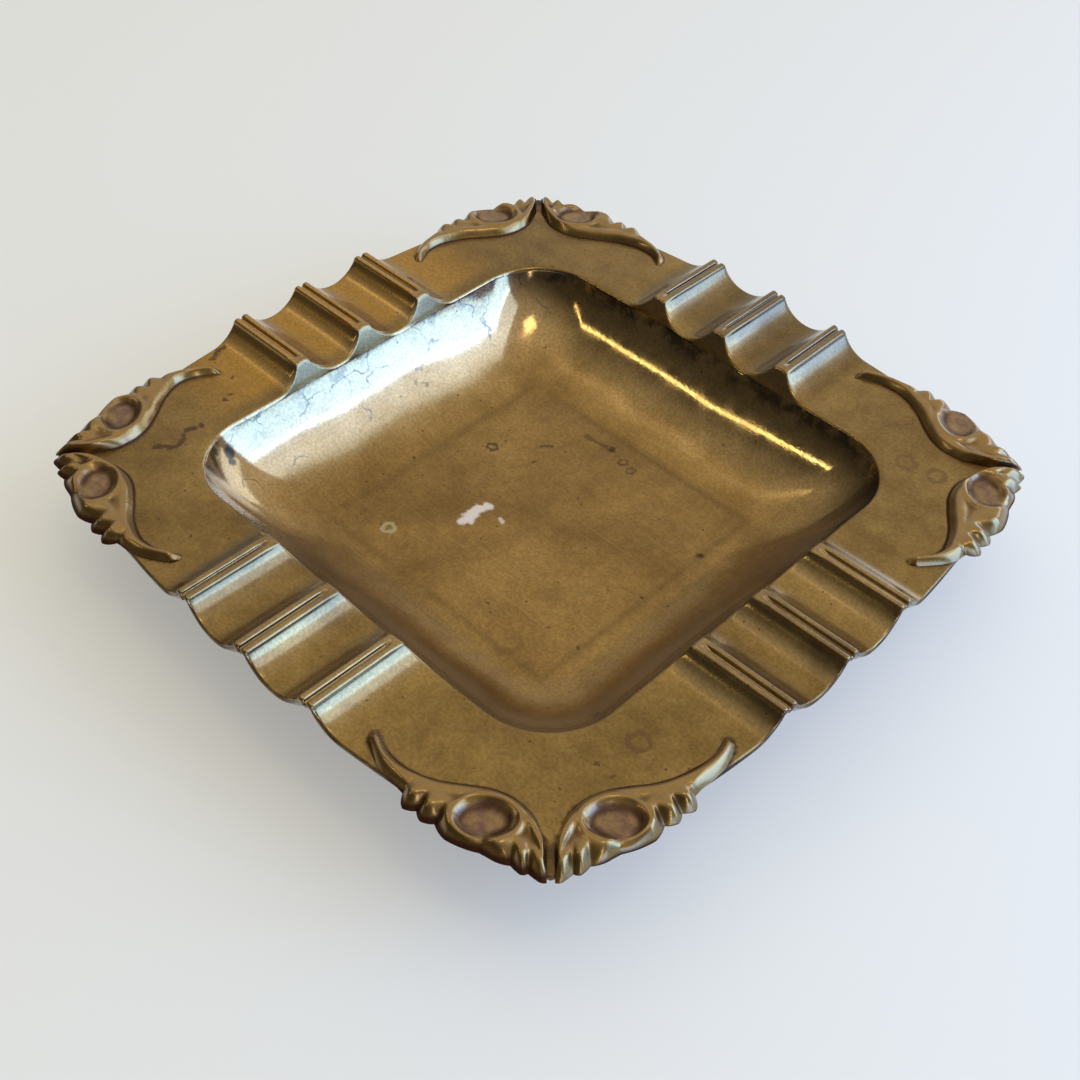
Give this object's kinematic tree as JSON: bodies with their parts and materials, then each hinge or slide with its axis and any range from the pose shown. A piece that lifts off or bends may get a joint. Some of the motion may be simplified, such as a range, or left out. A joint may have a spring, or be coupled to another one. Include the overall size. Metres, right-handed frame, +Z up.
{
  "type": "incense burner tray",
  "caption": "Square aged-brass incense burner: an ash basin in a bowed rim, with beaded stick rests across each side and mirrored scroll sprays riveted to every corner.",
  "frame": {"origin": "middle of the flat base, on the surface that the tray stands on", "axes": "+Z up, X and Y square to the sides; the corner at +X and -Y is the front one in the picture"},
  "size_m": [0.14, 0.14, 0.023],
  "materials": {
    "tray_brass": "aged cast brass, dull olive-gold rim and a warmer, worn basin",
    "scroll_brass": "aged cast brass, rubbed bright on top with dark dirt in the hollows"
  },
  "bodies": {
    "root": {"tray": "tray_brass", "scroll_right_front": "scroll_brass", "scroll_right_back": "scroll_brass", "scroll_back_right": "scroll_brass", "scroll_back_left": "scroll_brass", "scroll_left_back": "scroll_brass", "scroll_left_front": "scroll_brass", "scroll_front_left": "scroll_brass", "scroll_front_right": "scroll_brass"}
  },
  "joints": []
}
